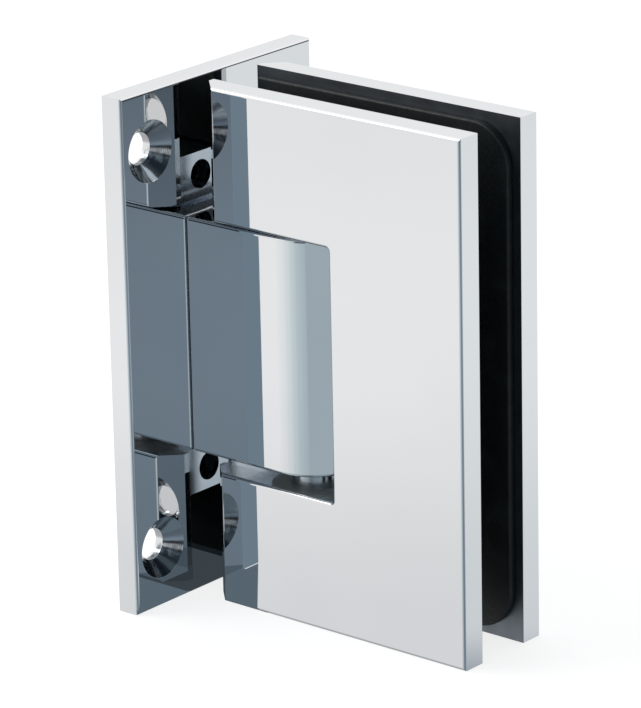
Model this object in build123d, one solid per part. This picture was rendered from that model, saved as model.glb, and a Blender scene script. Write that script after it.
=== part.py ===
from build123d import *
import os
from math import hypot

# Wall-to-glass shower door hinge with a full back plate and square corners.
# Millimetres. +Z is up along the pivot pin, +X points away from the wall and the back
# plate's rear face lies on X = 0, with the glass centred on Y = 0. -Y is the room side.

# --- Back plate that is screwed to the wall ---
PLATE_HEIGHT = 90.0            # back plate and both clamp plates
WALL_PLATE_WIDTH = 48.0
WALL_PLATE_THICKNESS = 4.1
EDGE_RADIUS = 0.55             # rounded edge of every polished piece
WALL_HOLE_RADIUS = 2.75        # clears a 5 mm countersunk wall screw
WALL_HOLE_SINK_RADIUS = 5.3
WALL_HOLE_SIDE_MARGIN = 6.8    # hole centre to the plate's side edge
WALL_HOLE_END_MARGIN = 10.3    # hole centre to the plate's top or bottom edge

# --- Pivot block, the knuckle between the clamp's arms ---
BLOCK_THICKNESS = 18.0
BLOCK_HEIGHT = 41.3
BLOCK_SCREW_MARGIN = 6.2       # screw axis to the block's top or bottom face
BLOCK_SCREW_LENGTH = 14.0
BLOCK_SCREW_RADIUS = 2.5
BLOCK_SCREW_HEAD_RADIUS = 4.6

# --- Glass and the two clamp plates ---
GLASS_THICKNESS = 8.0
GASKET_THICKNESS = 1.5
CLAMP_LENGTH = 55.0
CLAMP_THICKNESS = 4.6
CLAMP_BEVEL = 3.4              # on each plate's outer edge beside the wall
HEEL_REACH = 15.5              # pin axis to the clamp's edge beside the wall
SWING_CLEARANCE = 2.6          # between the back plate and the heel as it swings past
NOSE_CLEARANCE = 3.1           # between the block's round nose and the end of the notch
NOTCH_CORNER_RADIUS = 0.6

# --- Gaskets ---
GASKET_INSET = 1.6             # from the clamp's free end and its top and bottom edges
GASKET_HEEL_INSET = 1.2        # from its edge beside the wall
GASKET_CORNER_RADIUS = 7.0
GASKET_CLEARANCE = 0.4         # round the pin blocks

# --- Pivot pin and its bearings ---
PIN_RADIUS = 4.0
PIN_FLAT_DEPTH = 0.7           # each flat of the square detent length and of the pin's ends
PIN_END_RECESS = 0.5           # pin end below the pin block's outer face
PIN_CHAMFER = 0.5
PIN_SHOULDER = 2.0             # round length left between the flats and each bush
RUNNING_CLEARANCE = 0.05
SEAT_CLEARANCE = 0.02          # between pieces that are fixed in one another
BUSH_WALL = 2.0
BUSH_LENGTH = 9.0
BUSH_FLANGE_WIDTH = 1.4
BUSH_FLANGE_THICKNESS = 0.4
AXIAL_PLAY = 0.1               # over the upper bush, which carries the door
DROP_SLACK = 1.8               # under the lower bush, which carries nothing
BORE_RELIEF = 0.5              # radial relief of the block's bore between the bushes

# --- Pin blocks, the lugs between the plates above and below the pivot block ---
PIN_BLOCK_HEIGHT = 8.0
PIN_BLOCK_HEEL_INSET = 0.4
PIN_BLOCK_ARRIS = 0.3
CLAMP_SCREW_SET = 4.8          # screw axis past the end of the notch
CLAMP_SCREW_EDGE = 5.0         # screw axis to the pin block's inner end
CLAMP_SCREW_RADIUS = 2.5
CLAMP_SCREW_HEAD_RADIUS = 4.8
CLAMP_SCREW_HOLE_CLEARANCE = 0.2
CLAMP_SCREW_SKIN = 1.0         # metal left in front of the blind thread
CLAMP_SCREW_TIP_GAP = 0.5      # between the screw's end and the bottom of that thread
SET_SCREW_RADIUS = 2.5
SET_SCREW_LENGTH = 10.0
SCREW_END_CHAMFER = 0.6
SOCKET_DEPTH = 2.0
SOCKET_WIDTH = 3.0             # across the flats of every screw's hexagon socket
SET_SCREW_SOCKET_WIDTH = 2.5

# --- Sprung detents that press on the pin's flats ---
DETENT_SPACING = 10.4
PLUNGER_RADIUS = 3.4
PLUNGER_LENGTH = 5.0
PLUNGER_CHAMFER = 0.4
PLUNGER_STEM_RADIUS = 1.5
PLUNGER_STEM_LENGTH = 3.0
PLUNGER_CLEARANCE = 0.08
SPRING_WIRE_RADIUS = 0.5
SPRING_TURNS = 2.5
SPRING_SIDE_CLEARANCE = 0.2
SPRING_END_CLEARANCE = 0.05
PLUG_LENGTH = 4.0
PLUG_SHOULDER = 0.6            # how much wider the plug's thread is than the bore
PLUG_RECESS = 0.2

# --- Worked out from the sizes above ---
HALF_GAP = GLASS_THICKNESS / 2 + GASKET_THICKNESS       # centre plane to a clamp plate
HALF_DEPTH = HALF_GAP + CLAMP_THICKNESS                 # centre plane to an outer face
NOSE_RADIUS = BLOCK_THICKNESS / 2
LAND_SWING = hypot(HEEL_REACH, HALF_DEPTH - CLAMP_BEVEL)
BEVEL_SWING = hypot(HEEL_REACH - CLAMP_BEVEL, HALF_DEPTH)
SWING_RADIUS = max(LAND_SWING, BEVEL_SWING)             # furthest the heel reaches from the pin's axis
WALL_FACE_X = WALL_PLATE_THICKNESS
PIN_X = WALL_FACE_X + SWING_CLEARANCE + SWING_RADIUS
CLAMP_X = PIN_X - HEEL_REACH
CLAMP_END_X = CLAMP_X + CLAMP_LENGTH
NOTCH_END_X = PIN_X + NOSE_RADIUS + NOSE_CLEARANCE
CLAMP_SCREW_X = NOTCH_END_X + CLAMP_SCREW_SET
PIN_BLOCK_X = CLAMP_X + PIN_BLOCK_HEEL_INSET
PIN_BLOCK_END_X = CLAMP_SCREW_X + CLAMP_SCREW_EDGE
HALF_HEIGHT = PLATE_HEIGHT / 2
TOP_GAP = BUSH_FLANGE_THICKNESS + AXIAL_PLAY
BOTTOM_GAP = BUSH_FLANGE_THICKNESS + DROP_SLACK
HALF_NOTCH = (BLOCK_HEIGHT + TOP_GAP + BOTTOM_GAP) / 2
BLOCK_TOP_Z = HALF_NOTCH - TOP_GAP
BLOCK_BOTTOM_Z = BLOCK_TOP_Z - BLOCK_HEIGHT
BLOCK_MID_Z = (BLOCK_TOP_Z + BLOCK_BOTTOM_Z) / 2
PIN_BLOCK_MID_Z = HALF_NOTCH + PIN_BLOCK_HEIGHT / 2
PIN_BLOCK_OUTER_Z = HALF_NOTCH + PIN_BLOCK_HEIGHT
HALF_PIN = PIN_BLOCK_OUTER_Z - PIN_END_RECESS
PIN_FLAT_X = PIN_X - PIN_RADIUS + PIN_FLAT_DEPTH        # flat on the pin's wall side
BUSH_INNER_RADIUS = PIN_RADIUS + RUNNING_CLEARANCE
BUSH_OUTER_RADIUS = BUSH_INNER_RADIUS + BUSH_WALL
HALF_DETENT = BLOCK_HEIGHT / 2 - BUSH_LENGTH - PIN_SHOULDER
PLUNGER_NOSE_X = PIN_X - PIN_RADIUS - RUNNING_CLEARANCE
PLUNGER_BACK_X = PLUNGER_NOSE_X - PLUNGER_LENGTH
PLUNGER_BORE_RADIUS = PLUNGER_RADIUS + PLUNGER_CLEARANCE
PLUG_RADIUS = PLUNGER_BORE_RADIUS + PLUG_SHOULDER
PLUG_END_X = WALL_FACE_X + PLUG_RECESS + PLUG_LENGTH
SPRING_RADIUS = PLUNGER_BORE_RADIUS - SPRING_SIDE_CLEARANCE - SPRING_WIRE_RADIUS

HANGING = (Align.CENTER, Align.CENTER, Align.MAX)       # a cutter that hangs down from Z = 0


def cylinder_x(radius, start, end, z):
    """Round bar along X from start to end at height z."""
    return extrude(Plane.YZ.offset(start) * Pos(0, z) * Circle(radius), end - start)


def cylinder_z(radius, start, end):
    """Round bar about the pin's axis from height start to height end."""
    return extrude(Plane.XY.offset(start) * Pos(PIN_X, 0) * Circle(radius), end - start)


def upright(y):
    """Plane parallel to the glass at the given y, with X along it, Z up and its normal to the front."""
    return Plane((0, y, 0), x_dir=(1, 0, 0), z_dir=(0, -1, 0))


def hex_socket(width, depth):
    """Hexagon socket cutter that opens on Z = 0 and sinks along -Z, with a drilled bottom."""
    prism = extrude(RegularPolygon(width / 2, 6, major_radius=False), -depth)
    tip = Pos(0, 0, -depth) * Cone(0, width / 2, width / 4, align=HANGING)
    return prism + tip


def countersunk_screw(radius, head_radius, length):
    """Hexagon socket screw whose flat head lies on Z = 0 and whose shank runs down -Z."""
    sink = head_radius - radius
    profile = Polyline(
        (0, 0),
        (head_radius, 0),
        (radius, -sink),
        (radius, SCREW_END_CHAMFER - length),
        (radius - SCREW_END_CHAMFER, -length),
        (0, -length),
        close=True,
    )
    screw = revolve(Plane.XZ * make_face(profile), Axis.Z)
    return screw - hex_socket(SOCKET_WIDTH, SOCKET_DEPTH)


def grub_screw(radius, length, socket_width):
    """Headless screw from Z = 0 down to -length, socket upwards."""
    body = extrude(Circle(radius), -length)
    chamfer_length = min(SCREW_END_CHAMFER, radius / 3)
    body = chamfer(body.edges().filter_by(GeomType.CIRCLE), chamfer_length)
    return body - hex_socket(socket_width, min(SOCKET_DEPTH, length / 2))


def ease(faces):
    """Round the outer edges of some of a solid's faces, as polishing does."""
    edges = [edge for face in faces for edge in face.outer_wire().edges()]
    return fillet(edges, EDGE_RADIUS)


def countersink(radius, sink_radius, depth):
    """Hole cutter from Z = 0 down to -depth with a 90 degree countersink at the top."""
    sink = sink_radius - radius
    hole = extrude(Circle(radius), -depth)
    cone = Cone(radius, sink_radius, sink, align=HANGING)
    return hole + cone


def wall_hole_places():
    """The wall screws' places on the back plate, as (y, z)."""
    y = WALL_PLATE_WIDTH / 2 - WALL_HOLE_SIDE_MARGIN
    z = HALF_HEIGHT - WALL_HOLE_END_MARGIN
    return [(side * y, end * z) for side in (-1, 1) for end in (-1, 1)]


def block_screw_heights():
    """Heights of the two screws that hold the pivot block from behind."""
    return [BLOCK_TOP_Z - BLOCK_SCREW_MARGIN, BLOCK_BOTTOM_Z + BLOCK_SCREW_MARGIN]


def detent_heights():
    """Heights of the two sprung plungers."""
    return [BLOCK_MID_Z + side * DETENT_SPACING / 2 for side in (1, -1)]


def make_wall_plate():
    """Back plate, countersunk in front for the wall screws and behind for the block's screws."""
    plate = extrude(Plane.YZ * Rectangle(WALL_PLATE_WIDTH, PLATE_HEIGHT), WALL_PLATE_THICKNESS)
    plate = ease([plate.faces().sort_by(Axis.X)[-1]])
    for y, z in wall_hole_places():
        front = Plane((WALL_FACE_X, y, z), z_dir=(1, 0, 0))
        plate -= front * countersink(WALL_HOLE_RADIUS, WALL_HOLE_SINK_RADIUS, WALL_PLATE_THICKNESS)
    for z in block_screw_heights():
        back = Plane((0, 0, z), z_dir=(-1, 0, 0))
        radius = BLOCK_SCREW_RADIUS + SEAT_CLEARANCE
        plate -= back * countersink(radius, BLOCK_SCREW_HEAD_RADIUS + SEAT_CLEARANCE, WALL_PLATE_THICKNESS)
    return plate


def make_pivot_block():
    """Knuckle with flat sides and a half-round nose about the pin, bored for its mechanism."""
    straight = Pos((WALL_FACE_X + PIN_X) / 2, 0) * Rectangle(PIN_X - WALL_FACE_X, BLOCK_THICKNESS)
    outline = straight + Pos(PIN_X, 0) * Circle(NOSE_RADIUS)
    block = extrude(Plane.XY.offset(BLOCK_BOTTOM_Z) * outline, BLOCK_HEIGHT)
    block = fillet(block.edges().filter_by(Axis.Z).group_by(Axis.X)[0], EDGE_RADIUS)
    block = ease([block.faces().sort_by(Axis.Z)[-1], block.faces().sort_by(Axis.Z)[0]])
    block -= cylinder_z(BUSH_INNER_RADIUS + BORE_RELIEF, BLOCK_BOTTOM_Z, BLOCK_TOP_Z)
    bush_seat = BUSH_OUTER_RADIUS + SEAT_CLEARANCE
    block -= cylinder_z(bush_seat, BLOCK_TOP_Z - BUSH_LENGTH, BLOCK_TOP_Z)
    block -= cylinder_z(bush_seat, BLOCK_BOTTOM_Z, BLOCK_BOTTOM_Z + BUSH_LENGTH)
    for z in detent_heights():
        block -= cylinder_x(PLUNGER_BORE_RADIUS, WALL_FACE_X, PIN_X, z=z)
        block -= cylinder_x(PLUG_RADIUS + SEAT_CLEARANCE, WALL_FACE_X, PLUG_END_X, z=z)
    for z in block_screw_heights():
        thread_end = BLOCK_SCREW_LENGTH + BLOCK_SCREW_RADIUS / 2
        block -= cylinder_x(BLOCK_SCREW_RADIUS + SEAT_CLEARANCE, WALL_FACE_X, thread_end, z=z)
    return block


def make_block_screw(z):
    """Countersunk screw from the back plate's rear face into the pivot block."""
    screw = countersunk_screw(BLOCK_SCREW_RADIUS, BLOCK_SCREW_HEAD_RADIUS, BLOCK_SCREW_LENGTH)
    return Plane((0, 0, z), z_dir=(-1, 0, 0)) * screw


def make_bush(seat_z, side):
    """Flanged bearing bush; side is 1 on the block's top face and -1 on its bottom face."""
    flange_z = seat_z + side * BUSH_FLANGE_THICKNESS
    inner_z = seat_z - side * (BUSH_LENGTH - SEAT_CLEARANCE)
    profile = Polyline(
        (PIN_X + BUSH_INNER_RADIUS, inner_z),
        (PIN_X + BUSH_OUTER_RADIUS, inner_z),
        (PIN_X + BUSH_OUTER_RADIUS, seat_z),
        (PIN_X + BUSH_OUTER_RADIUS + BUSH_FLANGE_WIDTH, seat_z),
        (PIN_X + BUSH_OUTER_RADIUS + BUSH_FLANGE_WIDTH, flange_z),
        (PIN_X + BUSH_INNER_RADIUS, flange_z),
        close=True,
    )
    return revolve(Plane.XZ * make_face(profile), Axis((PIN_X, 0, 0), (0, 0, 1)))


def make_pivot_pin():
    """Pin with a square detent length between the bushes and a flat at each end."""
    pin = cylinder_z(PIN_RADIUS, -HALF_PIN, HALF_PIN)
    pin = chamfer(pin.edges().filter_by(GeomType.CIRCLE), PIN_CHAMFER)
    across = 2 * (PIN_RADIUS - PIN_FLAT_DEPTH)
    ring = Circle(PIN_RADIUS + PIN_FLAT_DEPTH) - Rectangle(across, across)
    detent = Plane.XY.offset(BLOCK_MID_Z - HALF_DETENT) * Pos(PIN_X, 0) * ring
    pin -= extrude(detent, 2 * HALF_DETENT)
    for side in (1, -1):
        cut = Box(PIN_FLAT_DEPTH, 2 * PIN_RADIUS, PIN_BLOCK_HEIGHT)
        pin -= Pos(PIN_FLAT_X - PIN_FLAT_DEPTH / 2, 0, side * PIN_BLOCK_MID_Z) * cut
    return pin


def make_plunger(z):
    """Detent plunger with a flat nose towards the pin and a stem inside its spring."""
    profile = Polyline(
        (PLUNGER_NOSE_X, 0),
        (PLUNGER_NOSE_X, PLUNGER_RADIUS - PLUNGER_CHAMFER),
        (PLUNGER_NOSE_X - PLUNGER_CHAMFER, PLUNGER_RADIUS),
        (PLUNGER_BACK_X, PLUNGER_RADIUS),
        (PLUNGER_BACK_X, PLUNGER_STEM_RADIUS),
        (PLUNGER_BACK_X - PLUNGER_STEM_LENGTH, PLUNGER_STEM_RADIUS),
        (PLUNGER_BACK_X - PLUNGER_STEM_LENGTH, 0),
        close=True,
    )
    return Pos(0, 0, z) * revolve(make_face(profile), Axis.X)


def make_detent_spring(z):
    """Compression spring between the plug and the plunger's shoulder."""
    start = PLUG_END_X + SPRING_END_CLEARANCE + SPRING_WIRE_RADIUS
    length = PLUNGER_BACK_X - SPRING_END_CLEARANCE - SPRING_WIRE_RADIUS - start
    coil = Helix(length / SPRING_TURNS, length, SPRING_RADIUS)
    wire = sweep(Plane(coil @ 0, z_dir=coil % 0) * Circle(SPRING_WIRE_RADIUS), coil)
    return Plane((start, 0, z), z_dir=(1, 0, 0)) * wire


def make_spring_plug(z):
    """Socket grub screw that closes a detent bore behind its spring."""
    plug = grub_screw(PLUG_RADIUS, PLUG_LENGTH, SOCKET_WIDTH)
    return Plane((WALL_FACE_X + PLUG_RECESS, 0, z), z_dir=(-1, 0, 0)) * plug


def make_clamp_plate(side):
    """C-shaped clamp plate; side is -1 in front of the glass and 1 behind it."""
    middle = Pos((CLAMP_X + CLAMP_END_X) / 2, 0)
    outline = middle * Rectangle(CLAMP_LENGTH, PLATE_HEIGHT)
    notch_depth = NOTCH_END_X - CLAMP_X
    outline -= Pos(CLAMP_X + notch_depth / 2, 0) * Rectangle(notch_depth, 2 * HALF_NOTCH)
    corners = outline.vertices().group_by(Axis.X)[-2]
    outline = fillet(corners, NOTCH_CORNER_RADIUS)
    plate = extrude(upright(side * HALF_GAP) * outline, -side * CLAMP_THICKNESS)
    heel = plate.edges().filter_by(Axis.Z).group_by(Axis.X)[0].sort_by(Axis.Y)
    plate = chamfer(heel[-2:] if side > 0 else heel[:2], CLAMP_BEVEL)
    return ease([plate.faces().sort_by(Axis.Y)[-1 if side > 0 else 0]])


def clamp_screw_places():
    """The clamp screws' places in the pin blocks, as (x, z)."""
    return [(CLAMP_SCREW_X, side * PIN_BLOCK_MID_Z) for side in (1, -1)]


def make_front_clamp_plate():
    """Plain outer plate with blind threads inside for the clamp screws."""
    plate = make_clamp_plate(-1)
    for x, z in clamp_screw_places():
        inside = Plane((x, -HALF_GAP, z), z_dir=(0, 1, 0))
        thread = extrude(Circle(CLAMP_SCREW_RADIUS + SEAT_CLEARANCE), CLAMP_SCREW_SKIN - CLAMP_THICKNESS)
        plate -= inside * thread
    return plate


def make_rear_clamp_plate():
    """Plate behind the glass, countersunk for the clamp screws."""
    plate = make_clamp_plate(1)
    for x, z in clamp_screw_places():
        outside = Plane((x, HALF_DEPTH, z), z_dir=(0, 1, 0))
        radius = CLAMP_SCREW_RADIUS + SEAT_CLEARANCE
        plate -= outside * countersink(radius, CLAMP_SCREW_HEAD_RADIUS + SEAT_CLEARANCE, CLAMP_THICKNESS)
    return plate


def make_gasket(side):
    """Rubber pad between a clamp plate and the glass, cut away round the pin blocks."""
    start = CLAMP_X + GASKET_HEEL_INSET
    length = CLAMP_END_X - GASKET_INSET - start
    height = 2 * (HALF_HEIGHT - GASKET_INSET)
    outline = Pos(start + length / 2, 0) * Rectangle(length, height)
    radius = min(GASKET_CORNER_RADIUS, height / 3)
    outline = fillet(outline.vertices().group_by(Axis.X)[-1], radius)
    cut_length = PIN_BLOCK_END_X + GASKET_CLEARANCE - start
    cut_height = 2 * (PIN_BLOCK_OUTER_Z + GASKET_CLEARANCE)
    outline -= Pos(start + cut_length / 2, 0) * Rectangle(cut_length, cut_height)
    return extrude(upright(side * HALF_GAP) * outline, side * GASKET_THICKNESS)


def make_pin_block(side):
    """Lug between the plates that holds one end of the pin; side is 1 above and -1 below."""
    size = (PIN_BLOCK_END_X - PIN_BLOCK_X, 2 * HALF_GAP, PIN_BLOCK_HEIGHT)
    centre = ((PIN_BLOCK_X + PIN_BLOCK_END_X) / 2, 0, side * PIN_BLOCK_MID_Z)
    block = Pos(*centre) * Box(*size)
    block = chamfer(block.edges().filter_by(Axis.Z), PIN_BLOCK_ARRIS)
    inner_z, outer_z = sorted((side * HALF_NOTCH, side * PIN_BLOCK_OUTER_Z))
    block -= cylinder_z(PIN_RADIUS + SEAT_CLEARANCE, inner_z, outer_z)
    block -= cylinder_x(SET_SCREW_RADIUS + SEAT_CLEARANCE, PIN_BLOCK_X, PIN_X, z=side * PIN_BLOCK_MID_Z)
    across = Plane((CLAMP_SCREW_X, HALF_GAP, side * PIN_BLOCK_MID_Z), z_dir=(0, 1, 0))
    return block - across * extrude(Circle(CLAMP_SCREW_RADIUS + CLAMP_SCREW_HOLE_CLEARANCE), -2 * HALF_GAP)


def make_set_screw(side):
    """Socket set screw that bears on the flat at one end of the pin."""
    screw = grub_screw(SET_SCREW_RADIUS, SET_SCREW_LENGTH, SET_SCREW_SOCKET_WIDTH)
    return Plane((PIN_FLAT_X - SET_SCREW_LENGTH, 0, side * PIN_BLOCK_MID_Z), z_dir=(-1, 0, 0)) * screw


def make_clamp_screw(x, z):
    """Countersunk screw from the rear plate through the pin block into the front plate."""
    length = 2 * HALF_DEPTH - CLAMP_SCREW_SKIN - CLAMP_SCREW_TIP_GAP
    screw = countersunk_screw(CLAMP_SCREW_RADIUS, CLAMP_SCREW_HEAD_RADIUS, length)
    return Plane((x, HALF_DEPTH, z), z_dir=(0, 1, 0)) * screw


def make_nodes():
    """Every separate piece of the hinge by name."""
    upper_screw, lower_screw = block_screw_heights()
    upper_detent, lower_detent = detent_heights()
    upper_clamp, lower_clamp = clamp_screw_places()
    return {
        "wall_plate": make_wall_plate(),
        "pivot_block": make_pivot_block(),
        "block_screw_upper": make_block_screw(upper_screw),
        "block_screw_lower": make_block_screw(lower_screw),
        "bush_upper": make_bush(BLOCK_TOP_Z, 1),
        "bush_lower": make_bush(BLOCK_BOTTOM_Z, -1),
        "pivot_pin": make_pivot_pin(),
        "detent_plunger_upper": make_plunger(upper_detent),
        "detent_plunger_lower": make_plunger(lower_detent),
        "detent_spring_upper": make_detent_spring(upper_detent),
        "detent_spring_lower": make_detent_spring(lower_detent),
        "spring_plug_upper": make_spring_plug(upper_detent),
        "spring_plug_lower": make_spring_plug(lower_detent),
        "front_clamp_plate": make_front_clamp_plate(),
        "rear_clamp_plate": make_rear_clamp_plate(),
        "front_gasket": make_gasket(-1),
        "rear_gasket": make_gasket(1),
        "pin_block_upper": make_pin_block(1),
        "pin_block_lower": make_pin_block(-1),
        "set_screw_upper": make_set_screw(1),
        "set_screw_lower": make_set_screw(-1),
        "clamp_screw_upper": make_clamp_screw(*upper_clamp),
        "clamp_screw_lower": make_clamp_screw(*lower_clamp),
    }


os.makedirs("parts", exist_ok=True)
for name, solid in make_nodes().items():
    export_step(solid, f"parts/{name}.step")
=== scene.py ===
"""Finishes, lights and camera for a wall-to-glass shower door hinge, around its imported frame."""

import logging
import math
from dataclasses import dataclass, field, replace
from enum import Enum

import bpy
from mathutils import Matrix, Vector


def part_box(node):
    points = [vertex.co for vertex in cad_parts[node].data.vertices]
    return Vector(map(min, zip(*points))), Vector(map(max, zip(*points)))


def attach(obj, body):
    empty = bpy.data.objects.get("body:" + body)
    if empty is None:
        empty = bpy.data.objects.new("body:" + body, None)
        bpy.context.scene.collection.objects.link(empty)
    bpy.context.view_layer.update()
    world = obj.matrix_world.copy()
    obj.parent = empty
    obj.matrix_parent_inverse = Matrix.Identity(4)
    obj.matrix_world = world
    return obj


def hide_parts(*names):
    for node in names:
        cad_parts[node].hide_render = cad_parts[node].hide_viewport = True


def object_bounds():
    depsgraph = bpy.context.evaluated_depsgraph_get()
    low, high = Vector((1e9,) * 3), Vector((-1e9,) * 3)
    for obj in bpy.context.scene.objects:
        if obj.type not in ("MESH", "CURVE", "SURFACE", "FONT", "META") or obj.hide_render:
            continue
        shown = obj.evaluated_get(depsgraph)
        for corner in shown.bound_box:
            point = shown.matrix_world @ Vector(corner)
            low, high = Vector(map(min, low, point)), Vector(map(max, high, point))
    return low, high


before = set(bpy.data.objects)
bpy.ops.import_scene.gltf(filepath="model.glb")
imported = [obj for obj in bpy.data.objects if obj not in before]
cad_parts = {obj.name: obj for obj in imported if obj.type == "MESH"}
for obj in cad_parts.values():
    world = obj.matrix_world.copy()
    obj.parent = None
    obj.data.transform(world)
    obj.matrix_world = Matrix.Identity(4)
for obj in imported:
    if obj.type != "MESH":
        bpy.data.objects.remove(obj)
CAD_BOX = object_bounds()

MM = 0.001                     # metres in a millimetre
GLOSSY_BOUNCES = 10
LOG = logging.getLogger("hinge")

Colour = tuple[float, float, float]
Socket = bpy.types.NodeSocket


class Axis(Enum):
    """A frame axis, with the number of its coordinate."""

    X = 0
    Y = 1
    Z = 2


class NodeSketch:
    """A node tree that is built one node at a time.

    Args:
        tree: The material's or world's node tree, which is emptied first.
    """

    def __init__(self, tree: bpy.types.NodeTree) -> None:
        """Empty the tree and keep it."""
        self.tree = tree
        tree.nodes.clear()

    def add(self, kind: str, **settings: object) -> bpy.types.Node:
        """Add a node of one kind with the given settings.

        Args:
            kind: Name of the node's type.
            **settings: Values of the node's own properties.

        Returns:
            The new node.
        """
        node = self.tree.nodes.new(kind)
        for name, value in settings.items():
            setattr(node, name, value)
        return node

    def put(self, node: bpy.types.Node, **inputs: object) -> bpy.types.Node:
        """Set a node's inputs, with underscores for the spaces in their names.

        Args:
            node: The node whose inputs are set.
            **inputs: A constant or another node's output socket for each input.

        Returns:
            The same node.
        """
        for name, value in inputs.items():
            socket = node.inputs[name.replace("_", " ")]
            self.join(value, socket)
        return node

    def join(self, value: object, socket: Socket) -> None:
        """Link an output socket to an input, or set the input to a constant.

        Args:
            value: The output socket or constant.
            socket: The input.
        """
        if isinstance(value, Socket):
            self.tree.links.new(value, socket)
        elif isinstance(value, tuple) and socket.type == "RGBA":
            socket.default_value = (*value, 1.0)
        else:
            socket.default_value = value

    def place(self) -> Socket:
        """Object coordinates, in metres."""
        return self.add("ShaderNodeTexCoord").outputs["Object"]

    def mapped(self, where: Socket, centre: Vector, scale: Vector) -> Socket:
        """Coordinates about a centre, stretched along the axes.

        Args:
            where: Coordinates to change.
            centre: Point that becomes the origin.
            scale: Factor along each axis.

        Returns:
            The changed coordinates.
        """
        shift = self.add("ShaderNodeVectorMath", operation="SUBTRACT")
        self.join(where, shift.inputs[0])
        self.join(tuple(centre), shift.inputs[1])
        stretch = self.add("ShaderNodeVectorMath", operation="MULTIPLY")
        self.join(shift.outputs[0], stretch.inputs[0])
        self.join(tuple(scale), stretch.inputs[1])
        return stretch.outputs[0]

    def noise(self, where: Socket, size: float, detail: float = 2.0) -> Socket:
        """Soft noise from 0 to 1.

        Args:
            where: Coordinates that the noise lies on.
            size: About how wide its blotches are, in metres.
            detail: How many finer layers it has.

        Returns:
            The noise.
        """
        node = self.add("ShaderNodeTexNoise")
        self.put(node, Vector=where, Scale=1.0 / size, Detail=detail)
        return node.outputs["Fac"]

    def graded(
        self,
        value: Socket,
        source: tuple[float, float],
        target: tuple[float, float],
        soft: bool = False,
    ) -> Socket:
        """Bring a value from one range to another and hold it there.

        Args:
            value: The socket to read.
            source: Its lowest and highest value.
            target: What those become.
            soft: Whether the change eases in and out.

        Returns:
            The graded value.
        """
        kind = "SMOOTHSTEP" if soft else "LINEAR"
        node = self.add("ShaderNodeMapRange", interpolation_type=kind)
        self.put(node, Value=value, From_Min=source[0], From_Max=source[1])
        self.put(node, To_Min=target[0], To_Max=target[1])
        return node.outputs["Result"]

    def sum(self, kind: str, *values: object) -> Socket:
        """One step of arithmetic.

        Args:
            kind: The operation, such as ADD.
            *values: The one to three numbers or sockets that it takes.

        Returns:
            The result.
        """
        node = self.add("ShaderNodeMath", operation=kind)
        for value, socket in zip(values, node.inputs):
            self.join(value, socket)
        return node.outputs["Value"]

    def coordinate(self, where: Socket, axis: Axis) -> Socket:
        """One coordinate of a point."""
        parts = self.add("ShaderNodeSeparateXYZ")
        return self.put(parts, Vector=where).outputs[axis.value]

    def mixed(self, share: object, first: object, second: object, kind: str = "MIX") -> Socket:
        """Two colours mixed.

        Args:
            share: How much of the second colour there is, from 0 to 1.
            first: The first colour.
            second: The second colour.
            kind: How they are mixed.

        Returns:
            The mixed colour.
        """
        node = self.add("ShaderNodeMix", data_type="RGBA", blend_type=kind)
        self.join(share, node.inputs["Factor"])
        self.join(first, node.inputs[6])
        self.join(second, node.inputs[7])
        return node.outputs[2]

    def ramp(self, value: Socket, stops: list[tuple[float, Colour]]) -> Socket:
        """A colour that runs smoothly through the given stops.

        Args:
            value: Place on the ramp, from 0 to 1.
            stops: Place and colour of each stop, lowest first.

        Returns:
            The colour.
        """
        node = self.add("ShaderNodeValToRGB")
        ramp = node.color_ramp
        ramp.interpolation = "EASE"
        while len(ramp.elements) < len(stops):
            ramp.elements.new(1.0)
        for element, (place, colour) in zip(ramp.elements, stops):
            element.position = place
            element.color = (*colour, 1.0)
        self.put(node, Fac=value)
        return node.outputs["Color"]

    def bump(self, height: Socket, depth: float, under: object = None) -> Socket:
        """A normal that follows a height from 0 to 1, the given depth in metres.

        Args:
            height: The relief.
            depth: How far the relief stands out at a height of 1.
            under: A coarser bump's normal that this one lies on.

        Returns:
            The normal.
        """
        node = self.add("ShaderNodeBump")
        self.put(node, Height=height, Distance=depth, Strength=1.0)
        if under is not None:
            self.put(node, Normal=under)
        return node.outputs["Normal"]


def new_material(name: str) -> tuple[bpy.types.Material, NodeSketch, bpy.types.Node]:
    """Start a material with a Principled shader.

    Args:
        name: The material's name.

    Returns:
        The material, its node tree to draw on and its Principled node.
    """
    material = bpy.data.materials.new(name)
    material.use_nodes = True
    sketch = NodeSketch(material.node_tree)
    surface = sketch.add("ShaderNodeBsdfPrincipled")
    output = sketch.add("ShaderNodeOutputMaterial")
    sketch.put(output, Surface=surface.outputs["BSDF"])
    return material, sketch, surface


@dataclass(frozen=True)
class SatinAndShadeZone:
    """Faces that are left less polished: those up to an x, and within a |y| and a |z|. On the clamp plates'
    glass sides their tint is painted shade.
    """

    reach: float
    half_width: float
    half_height: float
    tint: Colour
    haze: float

    def within(self, sketch: NodeSketch, where: Socket) -> Socket:
        """Tell the zone's points from all others.

        Args:
            sketch: The node tree to draw on.
            where: Coordinates of the point.

        Returns:
            1 within the zone and 0 outside it.
        """
        inside = sketch.sum("LESS_THAN", sketch.coordinate(where, Axis.X), self.reach)
        for axis, half in ((Axis.Y, self.half_width), (Axis.Z, self.half_height)):
            away = sketch.sum("ABSOLUTE", sketch.coordinate(where, axis))
            inside = sketch.sum("MULTIPLY", inside, sketch.sum("LESS_THAN", away, half))
        return inside


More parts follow.
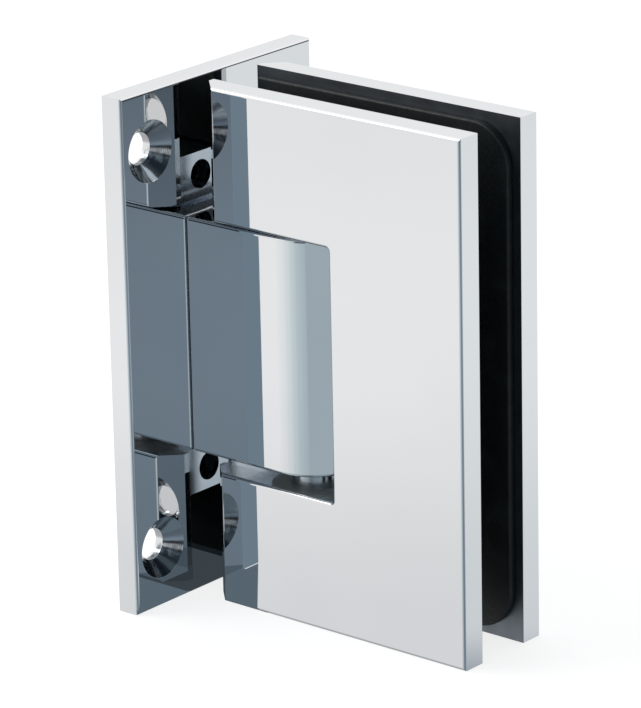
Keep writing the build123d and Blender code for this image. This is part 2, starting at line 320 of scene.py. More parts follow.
@dataclass(frozen=True)
class TurnedSinks:
    """Four countersinks turned into a plate, in mirror places about its middle."""

    aside: float                                # |y| of their axes
    along: float                                # |z| of their axes
    radius: float
    floor: float = 0.5 * MM                     # x below which their holes are straight
    haze: float = 0.12
    pitch: float = 0.22 * MM                    # from one turning ring to the next
    relief: float = 0.6e-6                      # height of the rings, in metres
    painted_shade: Colour = (0.1, 0.12, 0.135)          # painted shade, the tint of the lower half of each
    fleck: float = 0.9 * MM                     # size of the blotches along the painted shade's edge
    stray: float = 4 * MM                       # how far those blotches move the edge
    fade: tuple[float, float] = (-0.6 * MM, 1.6 * MM)       # where the painted shade ends, above the axis

    def past_axis(self, sketch: NodeSketch, spot: Socket, axis: float) -> Socket:
        """How far a coordinate lies outward past the sinks' axes."""
        return sketch.sum("SUBTRACT", sketch.sum("ABSOLUTE", spot), axis)

    def within(self, sketch: NodeSketch, where: Socket) -> tuple[Socket, Socket]:
        """Tell the sinks' points from all others and draw their rings.

        Args:
            sketch: The node tree to draw on.
            where: Coordinates of the point.

        Returns:
            1 within a sink and 0 outside, and the height of the turning rings from -1 to 1.
        """
        offsets = [
            sketch.sum("POWER", self.past_axis(sketch, sketch.coordinate(where, axis), at), 2.0)
            for axis, at in ((Axis.Y, self.aside), (Axis.Z, self.along))
        ]
        away = sketch.sum("SQRT", sketch.sum("ADD", *offsets))
        near = sketch.sum("LESS_THAN", away, self.radius)
        front = sketch.sum("GREATER_THAN", sketch.coordinate(where, Axis.X), self.floor)
        rings = sketch.sum("SINE", sketch.sum("MULTIPLY", away, 2 * math.pi / self.pitch))
        return sketch.sum("MULTIPLY", near, front), rings

    def shaded_below(self, sketch: NodeSketch, where: Socket, unshaded: Colour) -> Socket:
        """Colour of the sinks, with painted shade in their lower halves.

        Args:
            sketch: The node tree to draw on.
            where: Coordinates of the point.
            unshaded: Colour of their upper halves.

        Returns:
            The colour.
        """
        # Painted shade: the lower half of each sink is darkened, and noise makes its edge ragged.
        height = sketch.coordinate(where, Axis.Z)
        outward = self.past_axis(sketch, height, self.along)
        upward = sketch.sum("MULTIPLY", outward, sketch.sum("SIGN", height))
        ragged = sketch.sum("MULTIPLY_ADD", sketch.noise(where, self.fleck, 3.0), self.stray, upward)
        return sketch.mixed(sketch.graded(ragged, self.fade, (0.0, 1.0)), self.painted_shade, unshaded)


@dataclass(frozen=True)
class PolishedChrome:
    """Bright chrome plate over polished brass, with the faint marks that wiping leaves."""

    name: str
    tint: Colour = (0.75, 0.757, 0.765)
    cloud: Colour = (0.735, 0.745, 0.757)       # where the film of wiping is thickest
    film: float = 22 * MM                       # size of the film's patches
    haze: float = 0.012
    smudge: float = 0.03                        # roughness that the wiping marks add
    stroke: float = 0.35 * MM                   # width of one wiping mark
    stretch: float = 0.12                       # its width over its length, which is upright
    scratch: float = 6e-8                       # depth of the wiping marks, in metres
    ripple: float = 1.2e-6                      # relief of the polished brass beneath, in metres
    ripple_size: float = 14 * MM
    blotch: float = 3 * MM                      # size of the patches on satin faces
    uneven: float = 0.05                        # how far those patches change the roughness
    zones: tuple[SatinAndShadeZone, ...] = ()
    sinks: TurnedSinks | None = None

    def build(self) -> bpy.types.Material:
        """Make the material.

        Returns:
            The material.
        """
        material, sketch, surface = new_material(self.name)
        where = sketch.place()
        film = sketch.graded(sketch.noise(where, self.film, 3.0), (0.42, 0.7), (0.0, 1.0), soft=True)
        wiped = sketch.mapped(where, Vector((0, 0, 0)), Vector((1.0, 1.0, self.stretch)))
        strokes = sketch.noise(wiped, self.stroke, 4.0)
        marks = sketch.sum("MULTIPLY", film, sketch.graded(strokes, (0.45, 0.75), (0.0, 1.0)))
        colour = sketch.mixed(film, self.tint, self.cloud)
        rough = sketch.graded(marks, (0.0, 1.0), (self.haze, self.haze + self.smudge))
        patches = sketch.noise(where, self.blotch, 4.0)
        blotch = sketch.graded(patches, (0.3, 0.7), (-self.uneven, self.uneven))
        for zone in self.zones:
            inside = zone.within(sketch, where)
            colour = sketch.mixed(inside, colour, zone.tint)
            rough = sketch.sum("MULTIPLY_ADD", inside, sketch.sum("ADD", blotch, zone.haze), rough)
        swell = sketch.bump(sketch.noise(where, self.ripple_size, 1.0), self.ripple)
        normal = sketch.bump(strokes, self.scratch, swell)
        if self.sinks is not None:
            inside, rings = self.sinks.within(sketch, where)
            # The sinks' colour carries painted shade in their lower halves.
            colour = sketch.mixed(inside, colour, self.sinks.shaded_below(sketch, where, self.tint))
            rough = sketch.sum("MULTIPLY_ADD", inside, sketch.sum("ADD", blotch, self.sinks.haze), rough)
            normal = sketch.bump(sketch.sum("MULTIPLY", inside, rings), self.sinks.relief, normal)
        sketch.put(surface, Base_Color=colour, Metallic=1.0, Roughness=rough, Normal=normal)
        return material


@dataclass(frozen=True)
class GasketRubber:
    """Matt black sheet rubber with a fine moulded grain."""

    name: str = "black_rubber"
    deep: Colour = (0.0045, 0.0085, 0.008)
    worn: Colour = (0.013, 0.019, 0.019)
    grain: float = 0.5 * MM

    def build(self) -> bpy.types.Material:
        """Make the material.

        Returns:
            The material.
        """
        material, sketch, surface = new_material(self.name)
        where = sketch.place()
        dust = sketch.graded(sketch.noise(where, 5 * MM, 4.0), (0.45, 0.75), (0.0, 1.0), soft=True)
        grain = sketch.noise(where, self.grain, 5.0)
        sketch.put(
            surface,
            Base_Color=sketch.mixed(dust, self.deep, self.worn),
            Roughness=sketch.graded(grain, (0.3, 0.7), (0.42, 0.6)),
            Normal=sketch.bump(grain, 25e-6),
        )
        return material


@dataclass(frozen=True)
class TurnedMetal:
    """Machined metal with fine turning marks round one axis."""

    name: str
    tint: Colour
    dark: Colour
    rough: tuple[float, float] = (0.16, 0.3)
    groove: float = 0.12 * MM
    depth: float = 1.5e-6

    def build(self, axis: Axis, centre: Vector) -> bpy.types.Material:
        """Make the material.

        Args:
            axis: The axis that the piece was turned on.
            centre: A point of that axis, in the frame.

        Returns:
            The material.
        """
        material, sketch, surface = new_material(self.name)
        where = sketch.mapped(sketch.place(), centre, Vector((1, 1, 1)))
        wave = sketch.add("ShaderNodeTexWave", wave_type="RINGS", rings_direction=axis.name)
        sketch.put(wave, Vector=where, Scale=0.1 / self.groove, Distortion=1.5)
        sketch.put(wave, Detail=2.0, Detail_Scale=2.0)
        stain = sketch.graded(sketch.noise(where, 2.5 * MM, 4.0), (0.4, 0.75), (0.0, 1.0), soft=True)
        rings = wave.outputs["Fac"]
        sketch.put(
            surface,
            Base_Color=sketch.mixed(stain, self.tint, self.dark),
            Metallic=1.0,
            Roughness=sketch.graded(rings, (0.0, 1.0), self.rough),
            Normal=sketch.bump(rings, self.depth),
        )
        return material


@dataclass(frozen=True)
class MouldedPlastic:
    """Smooth bearing plastic with a faint flow grain."""

    name: str = "bearing_plastic"
    tint: Colour = (0.62, 0.60, 0.55)
    shade: Colour = (0.55, 0.53, 0.48)

    def build(self) -> bpy.types.Material:
        """Make the material.

        Returns:
            The material.
        """
        material, sketch, surface = new_material(self.name)
        where = sketch.place()
        flow = sketch.noise(where, 3 * MM, 3.0)
        grain = sketch.noise(where, 0.3 * MM, 3.0)
        sketch.put(
            surface,
            Base_Color=sketch.mixed(flow, self.tint, self.shade),
            Roughness=sketch.graded(grain, (0.3, 0.7), (0.34, 0.46)),
            Normal=sketch.bump(grain, 3e-6),
            Subsurface_Weight=0.08,
            Subsurface_Radius=(1.2 * MM, 1.0 * MM, 0.8 * MM),
        )
        return material


def dress(names: list[str], material: bpy.types.Material) -> None:
    """Give nodes of the frame a material and log each one.

    Args:
        names: The nodes.
        material: What they wear.
    """
    for name in names:
        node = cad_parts[name]
        for slot in node.material_slots:
            slot.material = material
        LOG.info("%s wears %s", name, material.name)


def centre_of(name: str) -> Vector:
    """Middle of a frame node's box."""
    low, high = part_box(name)
    return (low + high) / 2


def pick_only(piece: bpy.types.Object) -> None:
    """Select one object alone and make it the active one.

    Args:
        piece: The object.
    """
    bpy.ops.object.select_all(action="DESELECT")
    piece.select_set(True)
    bpy.context.view_layer.objects.active = piece


def turn_up(name: str, steps: list[tuple[float, float]], corners: int) -> bpy.types.Object:
    """Model an upright solid from its top face down, one extrusion a step.

    Args:
        name: The object's name.
        steps: Radius and height of each ring, topmost first.
        corners: Corners of every ring.

    Returns:
        The closed solid, about the Z axis.
    """
    bpy.ops.object.select_all(action="DESELECT")
    radius, height = steps[0]
    bpy.ops.mesh.primitive_circle_add(
        vertices=corners, radius=radius, fill_type="NGON", location=(0, 0, height)
    )
    piece = bpy.context.object
    piece.name = name
    bpy.ops.object.transform_apply(location=True, rotation=False, scale=False)
    bpy.ops.object.mode_set(mode="EDIT")
    bpy.ops.mesh.select_all(action="SELECT")
    for next_radius, next_height in steps[1:]:
        bpy.ops.mesh.extrude_region_move(TRANSFORM_OT_translate={"value": (0, 0, next_height - height)})
        ratio = next_radius / radius
        bpy.ops.transform.resize(value=(ratio, ratio, 1.0), center_override=(0, 0, 0))
        radius, height = next_radius, next_height
    bpy.ops.mesh.select_all(action="SELECT")
    bpy.ops.mesh.normals_make_consistent(inside=False)
    bpy.ops.object.mode_set(mode="OBJECT")
    return piece


def cut_away(piece: bpy.types.Object, cutter: bpy.types.Object) -> None:
    """Take a closed solid out of a piece and drop the cutter.

    Args:
        piece: The object that is cut.
        cutter: The solid that is taken out of it.
    """
    pick_only(piece)
    cut = piece.modifiers.new("cut", "BOOLEAN")
    cut.operation = "DIFFERENCE"
    cut.solver = "EXACT"
    cut.object = cutter
    bpy.ops.object.modifier_apply(modifier=cut.name)
    bpy.data.objects.remove(cutter)


def smooth_sides(piece: bpy.types.Object, angle: float = 35.0) -> None:
    """Shade a piece smooth, with every edge sharper than the angle in degrees left crisp."""
    pick_only(piece)
    bpy.ops.object.shade_smooth_by_angle(angle=math.radians(angle))


@dataclass
class SocketScrew:
    """A hexagon socket screw with a cut thread, modelled once with its top on the origin and copied."""

    name: str
    finish: TurnedMetal
    slot: str
    body: str
    facing: Vector                 # where the socket opens
    thread_radius: float
    socket: float                  # across the flats
    socket_depth: float = 2.0 * MM
    pitch: float = 0.8 * MM
    tip: float = 0.6 * MM          # chamfer at the screw's end
    rim: float = 0.12 * MM         # softened edge of its top
    groove: float = 0.61           # depth of the thread, in pitches
    groove_reach: float = 0.12 * MM        # that the thread's cutter stands out past the screw
    flank: float = 30.0            # half the thread's angle, in degrees
    corners: int = 48
    winding: int = 36              # steps in one turn of the thread

    def put(self, nodes: list[str]) -> None:
        """Model the screw and let copies stand for nodes of the frame.

        Args:
            nodes: The nodes that the copies replace.
        """
        axis = Axis(max(range(3), key=lambda index: abs(self.facing[index])))
        low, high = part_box(nodes[0])
        across = (high - low)[(axis.value + 1) % 3] / 2
        model = self.model(across, (high - low)[axis.value])
        for node in nodes:
            copy = model.copy()
            copy.data = model.data.copy()
            copy.name = f"threaded_{node}"
            bpy.context.scene.collection.objects.link(copy)
            low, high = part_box(node)
            top = (low + high) / 2
            top[axis.value] = (high if self.facing[axis.value] > 0 else low)[axis.value]
            turn = self.facing.to_track_quat("Z", "Y").to_matrix().to_4x4()
            copy.data.transform(Matrix.Translation(top) @ turn)
            copy.data.materials.clear()
            copy.data.materials.append(self.finish.build(axis, top))
            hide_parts(node)
            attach(copy, self.body)
            LOG.info("%s stands for %s", copy.name, node)
        bpy.data.objects.remove(model)

    def model(self, head_radius: float, length: float) -> bpy.types.Object:
        """Model one screw.

        Args:
            head_radius: Radius of its top, which is the thread's own on a headless screw.
            length: From its top to its end.

        Returns:
            The screw, hanging down from the origin.
        """
        sink = head_radius - self.thread_radius
        steps = [(head_radius - 2 * self.rim, 0.0), (head_radius - self.rim, -self.rim)]
        if sink > self.rim:
            steps.append((self.thread_radius, -sink))
        else:
            steps = [(head_radius - self.tip, 0.0), (head_radius, -self.tip)]
        steps += [(self.thread_radius, self.tip - length), (self.thread_radius - self.tip, -length)]
        screw = turn_up(self.name, steps, self.corners)
        start = -sink - self.pitch if sink > self.rim else self.pitch
        cut_away(screw, self.thread_groove(start, -length - self.pitch))
        cut_away(screw, self.socket_cutter())
        smooth_sides(screw)
        return screw

    def thread_groove(self, start: float, end: float) -> bpy.types.Object:
        """Model the V groove of the thread as a coil.

        Args:
            start: Height of its upper end.
            end: Height of its lower end.

        Returns:
            The coil, to cut from the screw.
        """
        depth = self.groove * self.pitch
        half = (depth + self.groove_reach) * math.tan(math.radians(self.flank))
        bpy.ops.object.select_all(action="DESELECT")
        bpy.ops.mesh.primitive_circle_add(vertices=3, fill_type="NOTHING")
        coil = bpy.context.object
        corners = ((-depth, 0.0), (self.groove_reach, -half), (self.groove_reach, half))
        for vertex, (out, up) in zip(coil.data.vertices, corners):
            vertex.co = (self.thread_radius + out, 0.0, end + up)
        turns = (start - end) / self.pitch
        wind = coil.modifiers.new("wind", "SCREW")
        wind.screw_offset = start - end
        wind.angle = 2 * math.pi * turns
        wind.steps = wind.render_steps = round(self.winding * turns)
        pick_only(coil)
        bpy.ops.object.modifier_apply(modifier=wind.name)
        bpy.ops.object.mode_set(mode="EDIT")
        bpy.ops.mesh.select_all(action="SELECT")
        bpy.ops.mesh.fill_holes(sides=3)
        bpy.ops.mesh.normals_make_consistent(inside=False)
        bpy.ops.object.mode_set(mode="OBJECT")
        return coil

    def socket_cutter(self) -> bpy.types.Object:
        """Model the hexagon socket with its drilled bottom.

        Returns:
            The solid to cut from the screw.
        """
        corner = self.socket / math.sqrt(3)
        steps = [
            (corner + 2 * self.rim, self.rim),
            (corner, -self.rim),
            (corner, -self.socket_depth),
            (corner / 4, -self.socket_depth - self.socket / 4),
        ]
        return turn_up("socket", steps, 6)


@dataclass
class GasketPad:
    """A rubber pad cut from sheet, with its edges rounded by the pressing."""

    node: str
    finish: GasketRubber
    slot: str = "gasket_rubber"
    body: str = "door_clamp"
    rounding: float = 0.32 * MM
    segments: int = 3              # facets across each rounding
    crease: float = 50.0           # edges sharper than this, in degrees, are rounded

    def build(self) -> None:
        """Model the pad from its node's outline and let it stand for the node."""
        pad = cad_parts[self.node].copy()
        pad.data = pad.data.copy()
        pad.name = f"pressed_{self.node}"
        bpy.context.scene.collection.objects.link(pad)
        pad.parent = None
        pick_only(pad)
        bpy.ops.mesh.customdata_custom_splitnormals_clear()
        bpy.ops.object.mode_set(mode="EDIT")
        bpy.ops.mesh.select_all(action="SELECT")
        bpy.ops.mesh.remove_doubles(threshold=1e-6)
        bpy.ops.mesh.dissolve_limited(angle_limit=math.radians(1))
        bpy.ops.mesh.normals_make_consistent(inside=False)
        bpy.ops.object.mode_set(mode="OBJECT")
        bevel = pad.modifiers.new("edge", "BEVEL")
        bevel.width = self.rounding
        bevel.segments = self.segments
        bevel.limit_method = "ANGLE"
        bevel.angle_limit = math.radians(self.crease)
        bpy.ops.object.modifier_apply(modifier=bevel.name)
        pad.data.materials.clear()
        pad.data.materials.append(self.finish.build())
        smooth_sides(pad)
        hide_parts(self.node)
        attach(pad, self.body)
        LOG.info("%s stands for %s", pad.name, self.node)


ENDS = ("upper", "lower")
EVERYWHERE = 1.0               # a reach in metres that takes in the whole hinge
HEAD_STEEL: tuple[Colour, Colour] = ((0.56, 0.56, 0.55), (0.42, 0.42, 0.41))


@dataclass
class WallSide:
    """The fixed half: back plate, knuckle and what they hold."""

    hole_side_margin: float = 6.8 * MM
    hole_end_margin: float = 10.3 * MM
    sink_radius: float = 5.28 * MM
    joint_depth: float = 0.3 * MM              # of the dull arris where the knuckle meets the plate
    joint_tint: Colour = (0.4, 0.44, 0.48)
    joint_haze: float = 0.3
    plate: PolishedChrome = PolishedChrome("wall_plate_mirror")
    knuckle: PolishedChrome = PolishedChrome("knuckle_mirror")
    bush: MouldedPlastic = MouldedPlastic()
    screw: SocketScrew = field(default_factory=lambda: SocketScrew(
        "block_screw", TurnedMetal("block_screw_steel", *HEAD_STEEL),
        "screw_steel", "wall_side", Vector((-1, 0, 0)), thread_radius=2.5 * MM, socket=3.0 * MM,
    ))
    plug: SocketScrew = field(default_factory=lambda: SocketScrew(
        "spring_plug", TurnedMetal("plug_steel", (0.09, 0.09, 0.095), (0.05, 0.05, 0.055), (0.3, 0.45)),
        "dark_steel", "wall_side", Vector((-1, 0, 0)), thread_radius=4.08 * MM, socket=3.0 * MM,
    ))
    spring: TurnedMetal = TurnedMetal("spring_wire", (0.46, 0.45, 0.43), (0.33, 0.32, 0.3), (0.2, 0.34))

    def build(self) -> None:
        """Dress every piece of the fixed half."""
        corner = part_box("wall_plate")[1]
        aside, along = corner.y - self.hole_side_margin, corner.z - self.hole_end_margin
        sinks = TurnedSinks(aside, along, self.sink_radius)
        dress(["wall_plate"], replace(self.plate, sinks=sinks).build())
        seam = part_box("pivot_block")[0].x + self.joint_depth
        joint = SatinAndShadeZone(seam, EVERYWHERE, EVERYWHERE, self.joint_tint, self.joint_haze)
        dress(["pivot_block"], replace(self.knuckle, zones=(joint,)).build())
        dress([f"bush_{end}" for end in ENDS], self.bush.build())
        for end in ENDS:
            name = f"detent_spring_{end}"
            dress([name], self.spring.build(Axis.X, centre_of(name)))
        self.screw.put([f"block_screw_{end}" for end in ENDS])
        self.plug.put([f"spring_plug_{end}" for end in ENDS])


@dataclass
class DoorClamp:
    """The half that holds the glass: two plates, gaskets, lugs, pin and screws."""

    plates: PolishedChrome = PolishedChrome("clamp_mirror")
    lug_past_notch: float = 9.8 * MM           # how far the lugs run on past the end of the notch
    skin: float = 0.04 * MM                    # that the satin zones reach past their faces
    glass_side_shade: Colour = (0.19, 0.21, 0.23)    # painted shade of the plates' glass sides
    glass_haze: float = 0.42
    notch_tint: Colour = (0.64, 0.69, 0.74)
    notch_haze: float = 0.2
    lugs: PolishedChrome = PolishedChrome(
        "lug_satin", tint=(0.78, 0.85, 0.91), cloud=(0.6, 0.67, 0.74), haze=0.15, smudge=0.08, ripple=2e-6
    )
    gasket: GasketRubber = GasketRubber()
    pin: TurnedMetal = TurnedMetal("pin_steel", (0.6, 0.6, 0.6), (0.5, 0.5, 0.5), (0.08, 0.16))
    screw: SocketScrew = field(default_factory=lambda: SocketScrew(
        "clamp_screw", TurnedMetal("clamp_screw_steel", *HEAD_STEEL),
        "screw_steel", "door_clamp", Vector((0, 1, 0)), thread_radius=2.5 * MM, socket=3.0 * MM,
    ))
    set_screw: SocketScrew = field(default_factory=lambda: SocketScrew(
        "set_screw", TurnedMetal("set_screw_steel", (0.05, 0.05, 0.055), (0.03, 0.03, 0.032), (0.3, 0.45)),
        "dark_steel", "door_clamp", Vector((-1, 0, 0)), thread_radius=2.5 * MM, socket=2.5 * MM,
    ))

    def build(self) -> None:
        """Dress every piece of the clamp."""
        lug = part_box("pin_block_upper")
        inner = abs(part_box("front_gasket")[0].y) + self.skin
        notch_end = lug[1].x - self.lug_past_notch + self.skin
        # The plates' glass sides get painted shade as well as a duller finish.
        glass_side = SatinAndShadeZone(EVERYWHERE, inner, EVERYWHERE, self.glass_side_shade, self.glass_haze)
        notch = SatinAndShadeZone(notch_end, EVERYWHERE, lug[0].z + self.skin, self.notch_tint, self.notch_haze)
        plates = replace(self.plates, zones=(glass_side, notch))
        dress(["front_clamp_plate", "rear_clamp_plate"], plates.build())
        dress([f"pin_block_{end}" for end in ENDS], self.lugs.build())
        dress(["pivot_pin"], self.pin.build(Axis.Z, centre_of("pivot_pin")))
        for name in ("front_gasket", "rear_gasket"):
            GasketPad(name, self.gasket).build()
        self.screw.put([f"clamp_screw_{end}" for end in ENDS])
        self.set_screw.put([f"set_screw_{end}" for end in ENDS])


@dataclass
class Detents:
    """The sprung plungers that press on the pin."""

    brass: TurnedMetal = TurnedMetal("plunger_brass", (0.72, 0.5, 0.22), (0.55, 0.36, 0.15), (0.14, 0.26))

    def build(self) -> None:
        """Dress both plungers."""
        for end in ENDS:
            name = f"detent_plunger_{end}"
            dress([name], self.brass.build(Axis.X, centre_of(name)))


@dataclass(frozen=True)
class Panel:
    """A patch of the surroundings that the chrome mirrors, in degrees about its middle."""

    bearing: float
    height: float
    wide: float
    tall: float
    colour: Colour
    soft: float = 8.0


@dataclass(frozen=True)
class ShadeCard:
    """A thin card that only reflections see."""

    name: str
    corners: tuple[tuple[float, float, float], ...]
    tint: Colour
    one_sided: bool = False        # seen only from the side on which the corners run anticlockwise

    def build(self) -> None:
        """Cut the card from a plain sheet with as many corners."""
        bpy.ops.object.select_all(action="DESELECT")
        bpy.ops.mesh.primitive_circle_add(vertices=len(self.corners), fill_type="NGON")
        card = bpy.context.object
        card.name = self.name
        for vertex, corner in zip(card.data.vertices, self.corners):
            vertex.co = corner
        material, sketch, surface = new_material(self.name)
        sketch.put(surface, Base_Color=(0.0, 0.0, 0.0), Roughness=1.0, Specular_IOR_Level=0.0)
        sketch.put(surface, Emission_Color=self.tint, Emission_Strength=1.0)
        if self.one_sided:
            sketch.join(
                sketch.sum("SUBTRACT", 1.0, sketch.add("ShaderNodeNewGeometry").outputs["Backfacing"]),
                surface.inputs["Alpha"],
            )
        card.data.materials.append(material)
        card.visible_camera = card.visible_diffuse = card.visible_shadow = card.visible_transmission = False


@dataclass
class Studio:
    """A pale floor under soft light, with a dim side towards the camera for the chrome to mirror."""

    floor_size: float = 6.0
    floor_tint: Colour = (0.9, 0.9, 0.9)
    floor_glow: float = 1.32
    glow_share: float = 0.62
    key_power: float = 9.0
    key_size: float = 0.9
    key_place: Vector = field(default_factory=lambda: Vector((-1.1, -0.75, 1.5)))
    bearings: tuple[tuple[float, Colour], ...] = (
        (-180.0, (1.0, 1.02, 1.03)),
        (-42.0, (1.05, 1.05, 1.05)),
        (-26.0, (0.96, 0.98, 0.99)),
        (-13.0, (0.83, 0.89, 0.91)),
        (0.0, (0.68, 0.77, 0.8)),
        (9.5, (0.58, 0.68, 0.72)),
        (21.0, (0.52, 0.61, 0.66)),
        (28.0, (0.48, 0.565, 0.62)),
        (37.0, (0.275, 0.35, 0.425)),
        (52.0, (0.22, 0.28, 0.34)),
        (85.0, (0.28, 0.33, 0.38)),
        (120.0, (0.9, 0.94, 0.96)),
        (180.0, (1.0, 1.02, 1.03)),
    )
    heights: tuple[tuple[float, Colour], ...] = (
        (-90.0, (0.25, 0.25, 0.26)),
        (-35.0, (0.5, 0.51, 0.52)),
        (-22.0, (0.82, 0.83, 0.84)),
        (-18.5, (1.0, 1.0, 1.0)),
        (-15.0, (0.95, 0.95, 0.95)),
        (24.0, (0.95, 0.95, 0.95)),
        (45.0, (0.4, 0.41, 0.42)),
        (90.0, (0.3, 0.31, 0.32)),
    )
    panels: tuple[Panel, ...] = (
        Panel(-85.0, 40.0, 130.0, 44.0, (1.15, 1.15, 1.15)),
        Panel(172.0, 42.0, 60.0, 24.0, (1.15, 1.15, 1.15)),
        Panel(150.0, 10.0, 100.0, 24.0, (0.05, 0.055, 0.06)),
        Panel(140.0, -28.0, 70.0, 11.2, (0.34, 0.39, 0.45), 0.9),
        Panel(45.0, 2.0, 80.0, 32.0, (0.025, 0.03, 0.035)),
        Panel(62.0, 4.0, 26.0, 16.0, (0.62, 0.66, 0.7), 5.0),
    )
    card_sink: float = 0.2 * MM                 # how far the floor cards lie under the floor
    card_start: float = -6 * MM                 # x where they begin
    side_card: float = 3.3 * MM                 # how far the card beside the back plate stands out past it
    side_lap: float = 0.8 * MM                  # how far it reaches over the plate
    side_clear: float = 0.03 * MM               # between it and the plate's face
    side_shade: Colour = (0.19, 0.256, 0.317)
    gap_slant: float = 40.2                     # slant of the card under the gap, in degrees
    gap_shade: Colour = (0.125, 0.17, 0.208)
    under_inset: float = 12 * MM                # from the nose's tip back to the end of the card under it
    under_shade: Colour = (0.055, 0.07, 0.082)
    nose_card: float = 2.9 * MM                 # from the knuckle's nose to the card beside it
    nose_clear: float = 0.1 * MM                # that this card reaches behind the front plate
    nose_width: float = 10 * MM                 # that it reaches out before the front plate
    nose_drop: float = 8 * MM                   # that it hangs down below the knuckle
    nose_shade: Colour = (0.42, 0.5, 0.555)

    def build(self, ground: float) -> None:
        """Set up the floor, the lamp and the surroundings.

        Args:
            ground: Height of the floor.
        """
        self.lay_floor(ground)
        for card in self.cards(ground):
            card.build()
        self.hang_lamp()
        self.paint_surroundings()

    def cards(self, ground: float) -> list[ShadeCard]:
        """The cards that the chrome mirrors close by.

        Args:
            ground: Height of the floor.

        Returns:
            A card under the clamp, one under the gap beside the wall, one beside the back plate, and a
            paler one in front of the notch, beside the knuckle's nose.
        """
        plate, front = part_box("wall_plate"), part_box("front_clamp_plate")
        behind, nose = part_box("rear_clamp_plate"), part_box("pivot_block")
        wall, face, side = plate[1].x, front[0].y, plate[0].y
        edge, end = side - self.side_card, nose[1].x - self.under_inset
        past = wall + (face - edge) / math.tan(math.radians(90 - self.gap_slant))
        back, far = self.card_start, behind[1].y
        under = ((back, face), (end, face), (end, far), (back, far))
        gap = ((wall, edge), (past, face), (back, face), (back, side), (wall, side))
        beside = self.upright(
            wall + self.side_clear, (edge, side + self.side_lap), (plate[0].z, plate[1].z)
        )
        before = self.upright(
            nose[1].x + self.nose_card,
            (front[1].y + self.nose_clear, face - self.nose_width),
            (nose[0].z - self.nose_drop, nose[1].z),
        )
        low = ground - self.card_sink
        return [
            ShadeCard("card_under_clamp", tuple((x, y, low) for x, y in under), self.under_shade),
            ShadeCard("card_under_gap", tuple((x, y, low) for x, y in gap), self.gap_shade),
            ShadeCard("card_beside_plate", beside, self.side_shade, one_sided=True),
            ShadeCard("card_beside_nose", before, self.nose_shade, one_sided=True),
        ]

    def upright(
        self, x: float, across: tuple[float, float], up: tuple[float, float]
    ) -> tuple[tuple[float, float, float], ...]:
        """Corners of a card that stands square to the X axis.

        Args:
            x: Where it stands.
            across: The y of its first and of its other side.
            up: The z of its foot and of its top.

        Returns:
            The corners, from the first side's foot round by the other side's.
        """
        corners = ((across[0], up[0]), (across[1], up[0]), (across[1], up[1]), (across[0], up[1]))
        return tuple((x, y, z) for y, z in corners)

    def lay_floor(self, ground: float) -> None:
        """Add the floor, whose open parts are as pale as the backdrop."""
        bpy.ops.object.select_all(action="DESELECT")
        bpy.ops.mesh.primitive_plane_add(size=self.floor_size, location=(0, 0, ground))
        floor = bpy.context.object
        floor.name = "studio_floor"
        material, sketch, surface = new_material("pale_floor")
        sketch.put(surface, Base_Color=self.floor_tint, Roughness=0.9)
        glow = sketch.add("ShaderNodeEmission")
        sketch.put(glow, Color=(1.0, 1.0, 1.0), Strength=self.floor_glow)
        seen = sketch.add("ShaderNodeLightPath").outputs["Is Camera Ray"]
        blend = sketch.add("ShaderNodeMixShader")
        sketch.join(sketch.sum("MULTIPLY", seen, self.glow_share), blend.inputs[0])
        sketch.join(surface.outputs[0], blend.inputs[1])
        sketch.join(glow.outputs[0], blend.inputs[2])
        output = next(node for node in sketch.tree.nodes if node.type == "OUTPUT_MATERIAL")
        sketch.join(blend.outputs[0], output.inputs[0])
        floor.data.materials.append(material)
        floor.visible_glossy = False

    def hang_lamp(self) -> None:
        """Add the soft lamp over the left shoulder."""
        lamp = bpy.data.lights.new("soft_key", "AREA")
        lamp.energy = self.key_power
        lamp.shape = "SQUARE"
        lamp.size = self.key_size
        holder = bpy.data.objects.new("soft_key", lamp)
        bpy.context.scene.collection.objects.link(holder)
        holder.location = self.key_place
        holder.rotation_euler = (-self.key_place).to_track_quat("-Z", "Y").to_euler()

    def paint_surroundings(self) -> None:
        """Paint what the chrome mirrors: pale, but dimmer overhead, underneath and at the camera's side."""
        world = bpy.data.worlds.new("studio")
        bpy.context.scene.world = world
        world.use_nodes = True
        sketch = NodeSketch(world.node_tree)
        parts = sketch.add("ShaderNodeSeparateXYZ")
        sketch.put(parts, Vector=sketch.add("ShaderNodeTexCoord").outputs["Generated"])
        forward = sketch.sum("MULTIPLY", parts.outputs["Y"], -1.0)
        bearing = sketch.sum("ARCTAN2", parts.outputs["X"], forward)
        height = sketch.sum("ARCSINE", parts.outputs["Z"])
        round_share = sketch.graded(bearing, (-math.pi, math.pi), (0.0, 1.0))
        height_share = sketch.graded(height, (-math.pi / 2, math.pi / 2), (0.0, 1.0))
        stops = [((angle + 180) / 360, colour) for angle, colour in self.bearings]
        levels = [((angle + 90) / 180, colour) for angle, colour in self.heights]
        around = sketch.ramp(round_share, stops)
        level = sketch.ramp(height_share, levels)
        mirrored = sketch.mixed(1.0, around, level, "MULTIPLY")
        for panel in self.panels:
            middle, top = math.radians(panel.bearing), math.radians(panel.height)
            aside = sketch.sum("WRAP", sketch.sum("SUBTRACT", bearing, middle), math.pi, -math.pi)
            share: object = 1.0
            for away, span in ((aside, panel.wide), (sketch.sum("SUBTRACT", height, top), panel.tall)):
                edge, soft = math.radians(span / 2), math.radians(panel.soft / 2)
                apart = sketch.sum("ABSOLUTE", away)
                part = sketch.graded(apart, (edge - soft, edge + soft), (1.0, 0.0), soft=True)
                share = sketch.sum("MULTIPLY", share, part)
            mirrored = sketch.mixed(share, mirrored, panel.colour)
        seen = sketch.add("ShaderNodeLightPath").outputs["Is Camera Ray"]
        light = sketch.add("ShaderNodeBackground")
        sketch.put(light, Color=sketch.mixed(seen, mirrored, (1.0, 1.0, 1.0)), Strength=1.0)
        output = sketch.add("ShaderNodeOutputWorld")
        sketch.put(output, Surface=light.outputs["Background"])


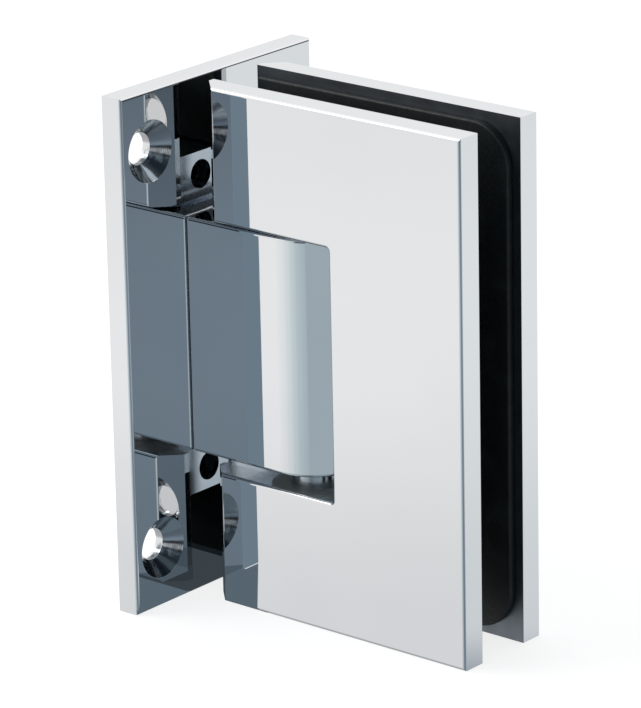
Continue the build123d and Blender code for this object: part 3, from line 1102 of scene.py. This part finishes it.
@dataclass
class ViewCamera:
    """A long lens above and to the right of the room side."""

    azimuth: float = 40.20
    elevation: float = 18.67
    roll: float = -1.19
    distance: float = 793.0 * MM                # from the frame's origin
    aside: float = 19.35 * MM                   # to the right, square to the view
    above: float = -5.54 * MM
    lens: float = 238.17
    sensor: float = 36.0
    reach: tuple[float, float] = (0.05, 50.0)   # nearest and farthest that it sees

    def build(self) -> None:
        """Add the camera and make it the scene's own."""
        turn, rise, roll = (math.radians(angle) for angle in (self.azimuth, self.elevation, self.roll))
        back = Vector((math.sin(turn) * math.cos(rise), -math.cos(turn) * math.cos(rise), math.sin(rise)))
        level = Vector((math.cos(turn), math.sin(turn), 0.0))
        upward = back.cross(level)
        right = level * math.cos(roll) + upward * math.sin(roll)
        up = upward * math.cos(roll) - level * math.sin(roll)
        data = bpy.data.cameras.new("view")
        data.lens = self.lens
        data.sensor_width = self.sensor
        data.clip_start, data.clip_end = self.reach
        camera = bpy.data.objects.new("view", data)
        bpy.context.scene.collection.objects.link(camera)
        turned = Matrix((right, up, back)).transposed().to_4x4()
        spot = back * self.distance + right * self.aside + up * self.above
        camera.matrix_world = Matrix.Translation(spot) @ turned
        bpy.context.scene.camera = camera


def main() -> None:
    """Build the hinge's looks piece by piece, then the studio round it."""
    logging.basicConfig(level=logging.INFO, format="%(name)s: %(message)s")
    for part in (WallSide(), DoorClamp(), Detents()):
        part.build()
    Studio().build(ground=CAD_BOX[0].z)
    ViewCamera().build()
    scene = bpy.context.scene
    scene.view_settings.view_transform = "Standard"
    scene.cycles.glossy_bounces = GLOSSY_BOUNCES


if __name__ == "__main__":
    main()
